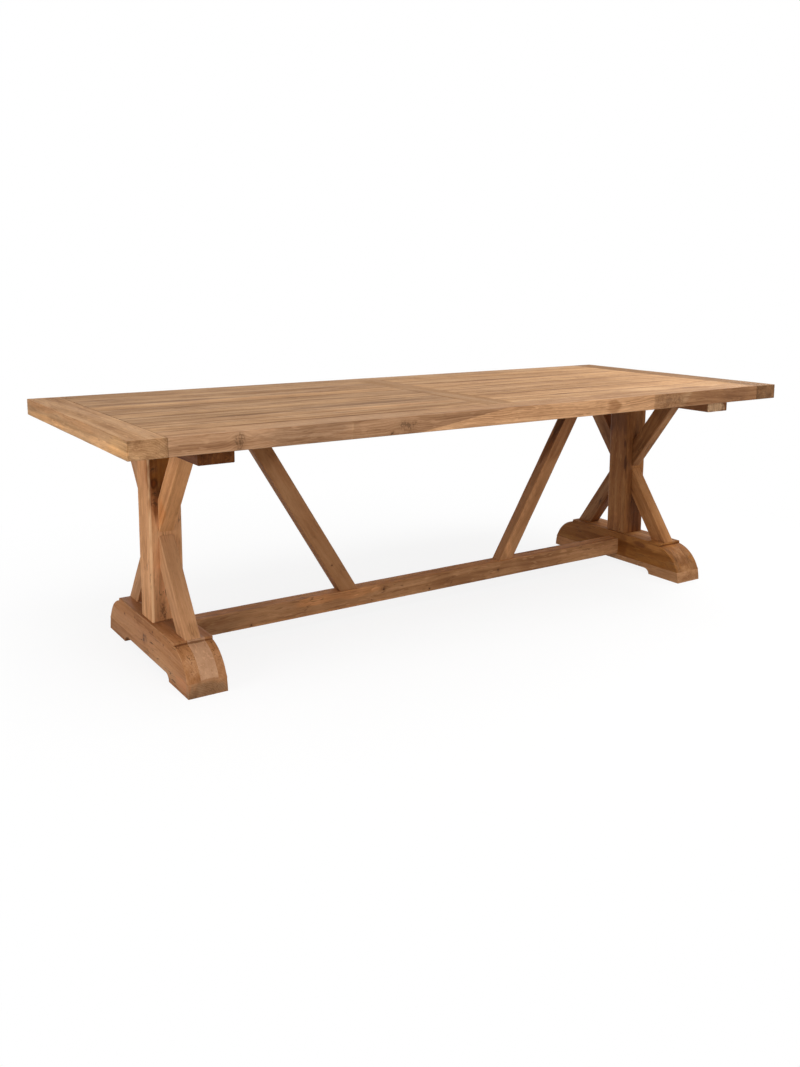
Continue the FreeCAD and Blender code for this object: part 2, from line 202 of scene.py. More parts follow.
def teak(name, pale, brown, dark, figure=0.5, blotch=1.0, cracks=0.0, flecks=0.5, fibre=0.85,
         end_shade=0.3, edge_tint=None, edge_share=0.6, knots=(), swells=(), nails=(), patches=(),
         front_bands=(), cad_grain=None):
    """Matte reclaimed teak: growth rings round a heart, streaks, pores, the marks of its first life, and
    tinted patches, some of them painted light and shade.
    """
    finish = bpy.data.materials.new(name)
    finish.use_nodes = True
    tree = finish.node_tree
    shader = tree.nodes["Principled BSDF"]

    def put(kind, **settings):
        node = tree.nodes.new("ShaderNode" + kind)
        for key, value in settings.items():
            setattr(node, key, value)
        return node

    def feed(socket, value):
        if isinstance(value, bpy.types.NodeSocket):
            tree.links.new(value, socket)
        else:
            socket.default_value = value

    def sums(operation, *terms, clamp=False):
        node = put("Math", operation=operation, use_clamp=clamp)
        for socket, term in zip(node.inputs, terms):
            feed(socket, term)
        return node.outputs[0]

    def vectors(operation, *terms):
        node = put("VectorMath", operation=operation)
        for socket, term in zip(node.inputs, terms):
            feed(socket, term)
        return node.outputs["Value"] if operation == "LENGTH" else node.outputs["Vector"]

    def cloud(place, stretch, detail, colour=False):
        node = put("TexNoise")
        feed(node.inputs["Vector"], vectors("MULTIPLY", place, stretch))
        node.inputs["Scale"].default_value = 1.0
        node.inputs["Detail"].default_value = detail
        return node.outputs[1] if colour else node.outputs[0]

    def shiver(place, stretch):
        return vectors("SUBTRACT", cloud(place, stretch, 3.0, colour=True), (0.5, 0.5, 0.5))

    def graded(value, low, high, start=0.0, end=1.0):
        node = put("MapRange", interpolation_type="SMOOTHSTEP")
        for socket, term in zip(node.inputs, (value, low, high, start, end)):
            feed(socket, term)
        return node.outputs[0]

    def mixed(share, first, second, way="MIX"):
        node = put("Mix", data_type="RGBA", blend_type=way)
        feed(node.inputs[0], share)
        feed(node.inputs[6], first)
        feed(node.inputs[7], second)
        return node.outputs[2]

    place = put("TexCoord").outputs["Object"]

    def span_from(centre, size, fray=None, share=0.0):
        away = vectors("SUBTRACT", place, centre)
        if fray is not None:
            away = vectors("ADD", away, vectors("MULTIPLY", fray, [side * share for side in size]))
        return vectors("LENGTH", vectors("DIVIDE", away, size))

    if cad_grain:
        turned = put("Mapping")
        feed(turned.inputs["Vector"], place)
        turned.inputs["Rotation"].default_value = cad_grain[0]
        turned.inputs["Location"].default_value = cad_grain[1]
        grain, tone, warmth, edge, end = turned.outputs[0], 1.0, 0.0, 0.0, 0.0
    else:
        grain = put("Attribute", attribute_name="grain").outputs["Vector"]
        split = put("SeparateXYZ")
        feed(split.inputs[0], put("Attribute", attribute_name="look").outputs["Vector"])
        tone, warmth, edge = split.outputs
        end = put("Attribute", attribute_name="end_grain").outputs["Fac"]

    swirl = shiver(grain, (1.6, 6.0, 6.0))
    swirled = vectors("ADD", grain, vectors("MULTIPLY", swirl, (0.0, 0.07, 0.07)))
    reach = vectors("LENGTH", vectors("MULTIPLY", swirled, (0.0, 1.0, 1.0)))

    rough = shiver(place, (55.0, 55.0, 55.0))
    knot_spans = []
    for centre, size, strength in knots:
        span = span_from(centre, size, rough, 1.2)
        reach = sums("ADD", reach, graded(span, 0.3, 3.2, 0.014 * strength, 0.0))
        knot_spans.append((span, strength))
    for centre, size, height in swells:
        reach = sums("ADD", reach, graded(span_from(centre, size), 0.0, 1.0, height, 0.0))

    wander = cloud(grain, (2.5, 30.0, 30.0), 2.0)
    rings = sums("FRACT", sums("ADD", sums("MULTIPLY", reach, 150.0), sums("MULTIPLY", wander, 2.4)))
    late = sums("MULTIPLY", graded(rings, 0.35, 0.86), graded(rings, 0.9, 1.0, 1.0, 0.0))
    years = put("TexNoise", noise_dimensions="1D")
    feed(years.inputs["W"], sums("MULTIPLY", reach, 75.0))
    years.inputs["Scale"].default_value = 1.0
    years.inputs["Detail"].default_value = 3.0
    fibres = cloud(swirled, (2.2, 130.0, 130.0), 3.0)
    streaks = cloud(swirled, (1.5, 42.0, 42.0), 4.0)
    drift = cloud(swirled, (2.2, 13.0, 13.0), 3.0)
    stain = cloud(place, (7.0, 7.0, 7.0), 4.0)
    depth = 0.40
    for part, share in ((years.outputs[0], 1.2 * figure), (fibres, fibre),
                        (graded(streaks, 0.34, 0.66), 0.30), (drift, 0.8 * blotch), (stain, 0.7 * blotch)):
        depth = sums("ADD", depth, sums("MULTIPLY", sums("SUBTRACT", part, 0.5), share))
    depth = sums("ADD", depth, sums("MULTIPLY", late, 0.28 * figure), clamp=True)
    wood = put("ValToRGB")
    feed(wood.inputs[0], depth)
    wood.color_ramp.elements[0].color = (*pale, 1)
    wood.color_ramp.elements[1].color = (*dark, 1)
    middle = wood.color_ramp.elements.new(0.45)
    middle.color = (*brown, 1)
    colour = wood.outputs[0]

    pores = graded(cloud(grain, (55.0, 1300.0, 1300.0), 1.0), 0.55, 0.70)
    colour = mixed(sums("MULTIPLY", pores, 0.35), colour, (*dark, 1))
    dark_flecks = graded(cloud(swirled, (17.0, 150.0, 150.0), 1.0), 0.62, 0.70)
    colour = mixed(sums("MULTIPLY", dark_flecks, flecks), colour, (*dark, 1))
    pale_flecks = graded(cloud(swirled, (21.0, 120.0, 120.0), 1.5), 0.40, 0.32)
    fleck_tint = [min(1.0, part * 1.12) for part in pale]
    colour = mixed(sums("MULTIPLY", pale_flecks, flecks), colour, (*fleck_tint, 1))
    end_rings = sums("MULTIPLY_ADD", late, 0.8 * end_shade, 0.6 * end_shade)
    colour = mixed(sums("MULTIPLY", end, end_rings), colour, (*dark, 1))

    frayed = shiver(swirled, (7.0, 45.0, 45.0))
    for centre, size, tint in patches:
        inside = graded(span_from(centre, size, frayed, 1.5), 0.55, 1.15, 1.0, 0.0)
        colour = mixed(inside, colour, mixed(1.0, colour, (*tint, 1), "MULTIPLY"))

    if front_bands:
        ragged = shiver(place, (9.0, 9.0, 40.0))
        rail_middle, rail_skin = 0.744, (-0.497, -0.494)
    for start, start_slant, stop, stop_slant, soft, tint in front_bands:
        split = put("SeparateXYZ")
        feed(split.inputs[0], vectors("ADD", place, vectors("MULTIPLY", ragged, (soft, 0.0, 0.004))))
        along, through, up = split.outputs
        rise = sums("SUBTRACT", up, rail_middle)
        after = sums("SUBTRACT", along, sums("MULTIPLY", rise, start_slant))
        before = sums("SUBTRACT", along, sums("MULTIPLY", rise, stop_slant))
        inside = sums("MULTIPLY", graded(after, start - soft * 0.3, start + soft * 0.3),
                      graded(before, stop - soft * 0.3, stop + soft * 0.3, 1.0, 0.0))
        inside = sums("MULTIPLY", inside, graded(through, *rail_skin, 1.0, 0.0))
        colour = mixed(inside, colour, mixed(1.0, colour, (*tint, 1), "MULTIPLY"))

    black = (0.075, 0.032, 0.013, 1)
    if knots:
        squiggle = sums("ABSOLUTE", sums("SUBTRACT", cloud(place, (95.0, 95.0, 60.0), 2.0), 0.5))
        lines = graded(squiggle, 0.015, 0.055, 1.0, 0.0)
    for span, strength in knot_spans:
        colour = mixed(graded(span, 0.5, 2.2, 0.5 * strength, 0.0), colour, (*dark, 1))
        rim = sums("MULTIPLY", lines, graded(span, 0.7, 1.5, 1.0, 0.0))
        rim_and_heart = sums("MAXIMUM", rim, graded(span, 0.2, 0.5, 1.0, 0.0))
        colour = mixed(sums("MULTIPLY", rim_and_heart, 0.85 * strength), colour, black)

    if cracks:
        seams = sums("ABSOLUTE", sums("SUBTRACT", cloud(swirled, (5.0, 60.0, 60.0), 2.0), 0.5))
        split_open = sums("MULTIPLY", graded(seams, 0.004, 0.014, 1.0, 0.0),
                          graded(cloud(place, (11.0, 11.0, 11.0), 2.0), 0.52, 0.62))
        colour = mixed(sums("MULTIPLY", split_open, cracks), colour, black)

    for centre, size in nails:
        span = span_from(centre, (size, size, size))
        colour = mixed(graded(span, 1.0, 3.6, 0.4, 0.0), colour, (*dark, 1))
        colour = mixed(graded(span, 0.8, 1.15, 0.95, 0.0), colour, black)

    worn = graded(cloud(grain, (14.0, 40.0, 40.0), 2.0), 0.30, 0.62)
    rubbed = sums("MULTIPLY", sums("MULTIPLY", edge, worn), edge_share)
    colour = mixed(rubbed, colour, (*(edge_tint or pale), 1))

    warm = put("CombineXYZ")
    feed(warm.inputs[0], sums("MULTIPLY", tone, sums("ADD", 1.0, sums("MULTIPLY", warmth, 0.10))))
    feed(warm.inputs[1], tone)
    feed(warm.inputs[2], sums("MULTIPLY", tone, sums("SUBTRACT", 1.0, sums("MULTIPLY", warmth, 0.22))))
    colour = mixed(1.0, colour, warm.outputs[0], "MULTIPLY")
    feed(shader.inputs["Base Color"], colour)

    feed(shader.inputs["Roughness"], graded(streaks, 0.3, 0.7, 0.58, 0.74))
    shader.inputs["Specular IOR Level"].default_value = 0.16
    relief = sums("SUBTRACT", sums("ADD", sums("MULTIPLY", late, 0.4), sums("MULTIPLY", fibres, 0.6)),
                  sums("MULTIPLY", pores, 0.8))
    bump = put("Bump")
    bump.inputs["Strength"].default_value = 0.35
    bump.inputs["Distance"].default_value = 0.0008
    feed(bump.inputs["Height"], relief)
    feed(shader.inputs["Normal"], bump.outputs[0])
    return finish


left_foot_teak = teak(
    "left_foot_teak", (0.53, 0.262, 0.115), (0.42, 0.184, 0.072), (0.20, 0.072, 0.024), figure=0.10,
    blotch=1.2, cracks=0.9, flecks=0.25, fibre=0.35, edge_tint=(0.62, 0.36, 0.19), edge_share=0.55,
    nails=[((-foot_outer_face, y, z), size) for y, z, size in (
        (0.012, 0.064, 0.0060), (0.010, 0.077, 0.0050), (0.190, 0.095, 0.0030),
        (-0.070, 0.112, 0.0030), (-0.160, 0.100, 0.0025), (0.090, 0.112, 0.0025))],
    knots=[((-foot_outer_face, -0.01, 0.074), (0.010, 0.010, 0.010), 0.5)],
    patches=[((-1.000, -0.350, 0.015), (0.085, 0.03, 0.034), (0.74, 0.86, 1.00)),
             ((-1.020, -0.315, 0.090), (0.03, 0.05, 0.040), (1.14, 1.24, 1.40)),
             ((-0.955, -0.325, 0.080), (0.03, 0.05, 0.040), (1.08, 1.16, 1.30)),
             ((-foot_outer_face, -0.30, 0.030), (0.02, 0.06, 0.020), (1.12, 1.00, 0.95)),
             # Painted shadow: a thin dark line along the step near the end of the foot's top.
             ((-trestle_x, -foot_step_half_length, 0.1235), (0.09, 0.004, 0.004), (0.46, 0.38, 0.30))])
right_sole_teak = teak(
    "right_sole_teak", (0.60, 0.318, 0.150), (0.48, 0.236, 0.104), (0.22, 0.088, 0.030), figure=0.15,
    blotch=1.2, cracks=0.5, flecks=0.35, fibre=0.5, edge_share=0.3,
    patches=[((0.990, -0.345, 0.015), (0.05, 0.02, 0.012), (0.84, 0.80, 0.76)),
             # Painted light: the far end of the sole's inner side is lighter.
             ((foot_inner_face, 0.290, 0.020), (0.02, 0.10, 0.030), (1.36, 1.30, 1.22))])
for side, seed, tone, finish in (("left", 3.0, 0.94, left_foot_teak), ("right", 4.0, 1.0, right_sole_teak)):
    foot_layer(side + "_foot_sole", sole_outline(), foot_arris, foot_arris, seed, tone, 0.0, finish)

# Upper feet
# Three teak layers glued side by side, a paler core between two cheeks, sawn to one outline:
# a flat top for the post and braces, a small step near each end, and a rounded nose.
foot_height = 0.132
foot_step_ease = 0.0015
foot_glue_line = 0.0004


def upper_foot_outline():
    """The upper foot seen from the end of the table."""
    centre = (-foot_half_length + nose_radius, 0.0)
    shoulder = math.degrees(math.acos((foot_step_half_length + centre[0]) / nose_radius))
    base = nose_angle(sole_thickness)
    crown = centre[0] - nose_radius * math.cos(math.radians(base))
    step_level = nose_radius * math.sin(math.radians(shoulder))
    half = straight((0.0, sole_thickness), (crown, sole_thickness))
    half += sawn_arc(centre, nose_radius, 180 - base, 180 - shoulder, 12)
    step = -foot_step_half_length
    half += straight((step, step_level), (step, foot_height - foot_step_ease))
    half += straight((step + foot_step_ease, foot_height), (-0.005, foot_height))
    return mirrored_outline(half)


def face_marks(axis, level, depth, marks):
    """Marks on a face square to an axis: each has two places, two half sizes, and its tint or strength."""
    index = "xyz".index(axis)
    placed = []
    for first, second, first_half, second_half, effect in marks:
        centre, size = [first, second], [first_half, second_half]
        centre.insert(index, level)
        size.insert(index, depth)
        placed.append((centre, size, effect))
    return placed


pale_core_teak = teak(
    "pale_core_teak", (0.62, 0.355, 0.200), (0.52, 0.285, 0.155), (0.36, 0.175, 0.085), figure=0.1,
    blotch=0.7, fibre=0.5, end_shade=0.0,
    patches=[((-0.986, -0.345, 0.040), (0.06, 0.03, 0.007), (0.70, 0.60, 0.50)),
             # Painted shade: the foot's top is darker under the post and braces.
             ((-0.986, -0.10, 0.134), (0.08, 0.18, 0.008), (0.66, 0.56, 0.46)),
             # Painted shadow: a thin dark line along the step.
             ((-trestle_x, -foot_step_half_length, 0.1235), (0.09, 0.004, 0.004), (0.46, 0.38, 0.30))])
# The right foot's teak is darker and redder than the left's: painted shade, as it stands in the shade under
# the top.
right_foot_teak = teak(
    "right_foot_teak", (0.437, 0.187, 0.045), (0.335, 0.126, 0.026), (0.153, 0.048, 0.008), figure=0.15,
    blotch=1.3, cracks=0.6, flecks=0.35, fibre=0.6, edge_share=0.15,
    patches=[((trestle_x, -0.335, 0.070), (0.061, 0.09, 0.10), (0.94, 1.12, 2.00)),
             # Painted light: the top of the right foot is lighter than its sides.
             ((trestle_x, 0.0, 0.140), (0.080, 0.60, 0.016), (1.20, 1.38, 2.00)),
             *face_marks("x", foot_inner_face, 0.02, [
                 (-0.14, 0.110, 0.035, 0.012, (0.60, 0.50, 0.42)),
                 (-0.22, 0.112, 0.045, 0.014, (1.35, 1.45, 1.80)),
                 # Painted shadow of the stretcher on the foot's inner face, just in front of it.
                 (-0.05, 0.080, 0.030, 0.060, (0.72, 0.66, 0.60))]),
             ((0.990, -0.330, 0.080), (0.05, 0.03, 0.024), (0.72, 0.66, 0.60)),
             # Painted shadow: a thin dark line along the step.
             ((trestle_x, -foot_step_half_length, 0.1235), (0.09, 0.004, 0.004), (0.50, 0.42, 0.34))])
for side, seed, finish in (("left", 7.0, left_foot_teak), ("right", 9.0, right_foot_teak)):
    outer_left = side == "left"
    cheeks = (("outer", outer_left, seed, 0.98), ("inner", not outer_left, seed + 0.5, 0.94))
    for cheek, on_left, cheek_seed, tone in cheeks:
        arrises = (foot_arris, foot_glue_line) if on_left else (foot_glue_line, foot_arris)
        foot_layer(f"{side}_foot_{cheek}_cheek", upper_foot_outline(), *arrises, cheek_seed, tone, 0.2,
                   finish)
    core_finish = pale_core_teak if side == "left" else right_foot_teak
    foot_layer(f"{side}_foot_core", upper_foot_outline(), foot_glue_line, foot_glue_line, seed + 1.3,
               0.95 if side == "left" else 1.25, 0.0, core_finish)

# Posts
# One square teak baulk in each trestle, planed from an old beam, with its corners well rounded.
# It stands in the foot and carries the bearer, on a tenon at each end.
post_side = 0.102
post_corner = 0.008
post_front = -post_side / 2
bearer_underside = 0.678


def board_section(width, thickness, corner, gap=0.024, stain=0.0):
    """A board's section as (place, normal, edge): flat sides, eased corners, a stain fading inwards."""
    outline = []
    for turn, (wide, thick) in enumerate(((1, 1), (-1, 1), (-1, -1), (1, -1))):
        centre = Vector((wide * (width / 2 - corner), thick * (thickness / 2 - corner)))
        for step in range(5):
            angle = math.radians(90 * turn + 22.5 * step)
            normal = Vector((math.cos(angle), math.sin(angle)))
            flat = 0.9 if stain else 0.0
            outline.append((centre + normal * corner, normal, flat if step in (0, 4) else 1.0))
        across = (width if turn % 2 == 0 else thickness) - 2 * corner
        direction = Vector((-math.sin(math.radians(90 * turn + 90)), math.cos(math.radians(90 * turn + 90))))
        count = max(2, round((across - 2 * stain) / gap))
        for step in range(count + 1) if stain else range(1, count):
            shift = stain + (across - 2 * stain) * step / count
            outline.append((centre + normal * corner + direction * shift, normal, 0.0))
    return outline


def timber(node, middle, along, across, section, cuts, seed, tone, warmth, teak_finish,
           wear=arris_rub, waves=hand_waves, ease=0.0012, gap=0.04, end_edges=(1.0, 1.0)):
    """A length of timber between two saw cuts, each given as a point and the direction it faces."""
    third = along.cross(across)

    def cut_at(point, plane):
        return (plane[0] - point).dot(plane[1]) / along.dot(plane[1])

    length = cut_at(middle, cuts[1]) - cut_at(middle, cuts[0])
    count = max(2, round(length / gap))
    stations = [(0.0, 0.0, 1.0, 0.0), (0.0, 0.3 * ease, 0.3, end_edges[0]), (0.0, ease, 0.0, 0.0)]
    stations += [(step / count, 0.0, 0.0, 0.0) for step in range(1, count)]
    stations += [(1.0, -ease, 0.0, 0.0), (1.0, -0.3 * ease, 0.3, end_edges[1]), (1.0, 0.0, 1.0, 0.0)]
    rings = []
    for share, run, inset, end_edge in stations:
        ring = []
        for point, normal, edge in section:
            true = middle + across * point.x + third * point.y
            outwards = across * normal.x + third * normal.y
            start, end = cut_at(true, cuts[0]), cut_at(true, cuts[1])
            place = true + along * (start + (end - start) * share)
            back = inset * ease + unevenness(place, seed, waves)
            if edge == 1.0:
                back += arris_wear(place, seed, wear)
            low = true - outwards * back
            start, end = cut_at(low, cuts[0]), cut_at(low, cuts[1])
            ring.append((low + along * (start + (end - start) * share + run), max(edge, end_edge),
                         1.0 if inset == 1.0 else 0.0))
        rings.append(ring)
    return finished_piece(node, rings, middle, along, across, seed, tone, warmth, teak_finish)


UP, RIGHT, BACK = Vector((0, 0, 1)), Vector((1, 0, 0)), Vector((0, 1, 0))
left_post_teak = teak(
    "left_post_teak", (0.76, 0.420, 0.220), (0.63, 0.315, 0.148), (0.27, 0.108, 0.040), figure=0.2,
    cracks=0.6, flecks=0.3, edge_tint=(0.82, 0.52, 0.30), edge_share=0.62,
    patches=face_marks("y", post_front, 0.012, [
        # Darker upper front face: dark knotty wood, and painted shade under the top.
        (-0.985, 0.625, 0.100, 0.150, (0.49, 0.34, 0.13)),
        (-1.005, 0.50, 0.034, 0.060, (0.50, 0.42, 0.32)),
        # Painted light: a lighter patch low on the front face, beside the lower brace.
        (-0.980, 0.230, 0.055, 0.130, (1.42, 1.46, 1.50)),
        (-1.028, 0.562, 0.013, 0.021, (0.42, 0.34, 0.28)),
        (-1.028, 0.562, 0.007, 0.011, (1.55, 1.40, 1.25)),
        (-0.990, 0.1335, 0.055, 0.003, (0.48, 0.40, 0.32))])
    # Painted shade: the outer front corner is darker high up, under the top.
    + [((-1.045, -0.035, 0.60), (0.02, 0.018, 0.045), (0.78, 0.66, 0.52)),
       ((-1.043, -0.049, 0.58), (0.012, 0.012, 0.17), (0.84, 0.78, 0.72))],
    knots=face_marks("y", post_front, 0.02, [
        (-1.028, 0.604, 0.012, 0.010, 0.8), (-1.024, 0.640, 0.012, 0.012, 0.7),
        (-1.026, 0.530, 0.013, 0.007, 0.9), (-1.026, 0.500, 0.012, 0.012, 0.8),
        (-1.012, 0.165, 0.010, 0.022, 0.60), (-0.985, 0.185, 0.006, 0.016, 0.60)]))
# The right trestle's teak is darker and redder than the left post's: painted shade, as it stands under the
# top.
right_trestle_teak = teak(
    "right_trestle_teak", (0.53, 0.250, 0.090), (0.41, 0.170, 0.054), (0.19, 0.064, 0.017), figure=0.12,
    blotch=1.3, cracks=0.8, flecks=0.35, fibre=0.55, edge_tint=(0.34, 0.140, 0.044), edge_share=0.4,
    patches=face_marks("y", post_front, 0.012, [
        # Painted shade: the post's rounded front corner is darker along its whole height.
        (0.952, 0.40, 0.026, 0.36, (0.62, 0.56, 0.50)),
        # Painted shade: the lower front face is darker.
        (1.010, 0.22, 0.050, 0.14, (0.56, 0.47, 0.36))])
    + [((0.970, -0.200, 0.66), (0.010, 0.060, 0.06), (0.76, 0.70, 0.62)),
       ((0.943, 0.03, 0.63), (0.03, 0.10, 0.11), (0.52, 0.44, 0.36))]
    + face_marks("x", trestle_x - post_side / 2, 0.02, [
        (-0.042, 0.42, 0.010, 0.035, (0.42, 0.34, 0.30)),
        (-0.036, 0.50, 0.006, 0.020, (0.50, 0.40, 0.35)),
        (-0.040, 0.36, 0.006, 0.045, (1.22, 1.24, 1.30)),
        (0.0, 0.19, 0.020, 0.030, (1.20, 1.22, 1.30))])
    # Painted light: a lighter strip along the underside of the upper front brace.
    + [((0.997, y, z), (0.022, 0.035, 0.045), (1.20, 1.25, 1.30))
       for y, z in ((-0.100, 0.475), (-0.150, 0.542), (-0.200, 0.608))])
# The right post's lower tone darkens it further: painted shade.
for side, seed, tone, finish in (("left", 11.0, 1.0, left_post_teak),
                                 ("right", 12.0, 0.84, right_trestle_teak)):
    low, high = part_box(side + "_post")
    middle = Vector(((low.x + high.x) / 2, 0.0, (foot_height + bearer_underside) / 2))
    cuts = ((Vector((0, 0, foot_height)), UP), (Vector((0, 0, bearer_underside)), UP))
    section = board_section(post_side, post_side, post_corner)
    timber(side + "_post", middle, UP, RIGHT, section, cuts, seed, tone, 0.3, finish)

# Braces
# Four short arms make each trestle's X. Each is cut plumb against the post and level against
# the bearer or the foot, and held there by two dowels and glue.
brace_thickness = 0.048
planed_corner = 0.003
brace_height_at_post = 0.102
brace_gap = 0.008
upper_brace_toe, lower_brace_toe = 0.252, 0.245
brace_middle = (foot_height + bearer_underside) / 2


def brace(node, x, front_or_back, up_or_down, seed, tone, warmth, finish):
    """One arm of the X, from the post's face to its toe."""
    toe_level = bearer_underside if up_or_down > 0 else foot_height
    near = Vector((x, front_or_back * post_side / 2, brace_middle + up_or_down * brace_gap / 2))
    toe = Vector((x, front_or_back * (upper_brace_toe if up_or_down > 0 else lower_brace_toe), toe_level))
    along = (toe - near).normalized()
    across = RIGHT.cross(along)
    if across.z * up_or_down < 0:
        across = -across
    width = brace_height_at_post * abs(along.y)
    middle = (near + toe) / 2 + across * width / 2
    cuts = ((near, BACK * front_or_back), (toe, UP * up_or_down))
    section = board_section(width, brace_thickness, planed_corner)
    timber(node, middle, along, across, section, cuts, seed, tone, warmth, finish, gap=0.03)


left_brace_teak = teak(
    "left_brace_teak", (0.70, 0.375, 0.185), (0.59, 0.290, 0.132), (0.32, 0.140, 0.056), figure=0.15,
    blotch=1.0, cracks=0.4, flecks=0.2, fibre=0.5, edge_share=0.35,
    patches=[((-0.978, -0.240, 0.165), (0.032, 0.030, 0.034), (0.80, 0.76, 0.70)),
             ((-1.018, -0.082, 0.465), (0.010, 0.030, 0.060), (0.94, 0.80, 0.66))])
for side, x, finish in (("left", -trestle_x, left_brace_teak), ("right", trestle_x, right_trestle_teak)):
    seed = 20.0 if side == "left" else 30.0
    for facing, front_or_back in (("front", -1), ("back", 1)):
        for level, up_or_down in (("upper", 1), ("lower", -1)):
            # The back braces are toned darker: painted shade, as they stand further in under the top.
            tone = 0.80 if facing == "back" else 0.90 if side == "left" else 1.12
            warmth = 0.0 if side == "left" else -0.3
            if (facing, level) == ("front", "upper"):
                tone, warmth = (1.04, 0.5) if side == "left" else (0.80, -0.3)
            brace(f"{side}_{facing}_{level}_brace", x, front_or_back, up_or_down, seed, tone, warmth, finish)
            seed += 1.0


# Bearers
# A flat teak board lies across the head of each trestle, screwed up into every plank.
# It is left as drawn, with its countersunk screw holes, and only gets its wood.
def dress(node, finish):
    """Give a piece that is left as drawn its finish."""
    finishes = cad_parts[node].data.materials
    finishes.clear()
    finishes.append(finish)


# The left bearer is darker teak than the right; both are written deep and saturated, which is painted shade
# under the top.
for side, seed, pale, brown, dark, patches in (
        ("left", 0.7, (0.195, 0.063, 0.009), (0.135, 0.039, 0.005), (0.065, 0.018, 0.003), ()),
        ("right", 5.9, (0.34, 0.150, 0.055), (0.25, 0.100, 0.034), (0.13, 0.050, 0.018),
         [((0.985, -0.445, 0.697), (0.05, 0.005, 0.030), (2.6, 4.0, 6.4))])):
    bearer_teak = teak(side + "_bearer_teak", pale, brown, dark, patches=patches,
                       cad_grain=((0.0, 0.0, math.radians(-90)), (seed, 0.06, -0.62)))
    dress(side + "_bearer", bearer_teak)

# Stretcher
# A single teak bar ties the two feet, tenoned into their inner cheeks just clear of the floor.
# It has nail holes and pale sapwood streaks from its first use.
stretcher_width, stretcher_height = 0.055, 0.062
stretcher_low = 0.046
stretcher_front = -stretcher_width / 2
link_teak = teak(
    "link_teak", (0.53, 0.275, 0.128), (0.40, 0.188, 0.080), (0.21, 0.086, 0.032), figure=0.2,
    blotch=1.3, cracks=0.6, flecks=0.5, edge_share=0.4,
    nails=[((x, stretcher_front, z), size) for x, z, size in (
        (-0.712, 0.055, 0.0028), (-0.206, 0.088, 0.0034), (-0.011, 0.057, 0.0030), (0.304, 0.076, 0.0036))],
    knots=face_marks("y", stretcher_front, 0.02, [
        (-0.206, 0.088, 0.011, 0.008, 0.6), (0.304, 0.078, 0.014, 0.009, 0.5)]),
    patches=face_marks("y", stretcher_front, 0.02, [
        (-0.82, 0.075, 0.10, 0.040, (0.74, 0.72, 0.70)),
        (-0.48, 0.096, 0.10, 0.016, (1.38, 1.28, 1.16)),
        (-0.31, 0.095, 0.11, 0.017, (1.34, 1.26, 1.16)),
        (-0.45, 0.050, 0.42, 0.006, (1.26, 1.20, 1.14)),
        (0.03, 0.080, 0.07, 0.030, (0.84, 0.80, 0.76)),
        (0.72, 0.080, 0.25, 0.040, (1.10, 1.12, 1.14)),
        (0.40, 0.050, 0.30, 0.006, (0.80, 0.76, 0.72))])
    # Painted light: the stretcher's upward face is lighter along its whole length.
    + [((0.0, 0.0, 0.109), (1.30, 0.06, 0.004), (1.42, 1.34, 1.18))])
middle = Vector((0, 0, stretcher_low + stretcher_height / 2))
cuts = ((Vector((-foot_inner_face, 0, 0)), RIGHT), (Vector((foot_inner_face, 0, 0)), RIGHT))
section = board_section(stretcher_width, stretcher_height, planed_corner)
timber("stretcher", middle, RIGHT, BACK, section, cuts, 41.0, 1.0, 0.1, link_teak)

# Raking struts
# Two teak struts rise from the stretcher's top towards the ends of the table, and stop the
# trestles from racking. Both ends are cut level and doweled.
strut_thickness = 0.045
strut_front = -strut_thickness / 2
strut_foot_outer = 0.3775
strut_teak = teak(
    "strut_teak", (0.49, 0.248, 0.112), (0.40, 0.184, 0.076), (0.24, 0.098, 0.036), figure=0.1,
    blotch=1.0, cracks=0.3, flecks=0.15, fibre=0.35, edge_share=0.3,
    nails=[((-0.41, strut_front, 0.205), 0.0026)],
    patches=face_marks("y", strut_front, 0.02, [
        (0.360, 0.150, 0.014, 0.040, (1.22, 1.22, 1.24)),
        # Painted shadow of the top on the left strut's head.
        (-0.655, 0.64, 0.08, 0.08, (0.68, 0.61, 0.50)),
        (0.62, 0.58, 0.12, 0.14, (0.80, 0.76, 0.72))])
    # Painted shade: the right strut's upper-left face darkens towards the top, under the table top.
    + face_marks("y", 0.0, 0.023, [
        (0.632, 0.63, 0.08, 0.12, (0.34, 0.27, 0.15)),
        (0.570, 0.53, 0.06, 0.09, (0.52, 0.42, 0.27)),
        (0.500, 0.41, 0.04, 0.06, (0.86, 0.84, 0.80))])
    # Painted highlight: a pale strip along the right strut's upper-left arris on its front face.
    + face_marks("y", strut_front, 0.010, [
        (0.251 + 0.608 * level, level, 0.012, 0.034, (1.20, 1.22, 1.25))
        for level in (0.43, 0.40, 0.37, 0.34, 0.31, 0.28, 0.25, 0.22, 0.19, 0.16)]))
strut_angle = math.radians(58.7)
stretcher_top = stretcher_low + stretcher_height
batten_underside = 0.694
for side, sign, strut_width, seed, tone in (("left", -1, 0.059, 44.0, 0.96),
                                            ("right", 1, 0.055, 47.0, 1.10)):
    along = Vector((sign * math.cos(strut_angle), 0, math.sin(strut_angle)))
    foot_middle = strut_foot_outer - strut_width / math.sin(strut_angle) / 2
    foot = Vector((sign * foot_middle, 0, stretcher_top))
    middle = foot + along * (batten_underside - stretcher_top) / math.sin(strut_angle) / 2
    cuts = ((Vector((0, 0, stretcher_top)), UP), (Vector((0, 0, batten_underside)), UP))
    section = board_section(strut_thickness, strut_width, planed_corner)
    timber(side + "_strut", middle, along, BACK, section, cuts, seed, tone, 0.1, strut_teak)

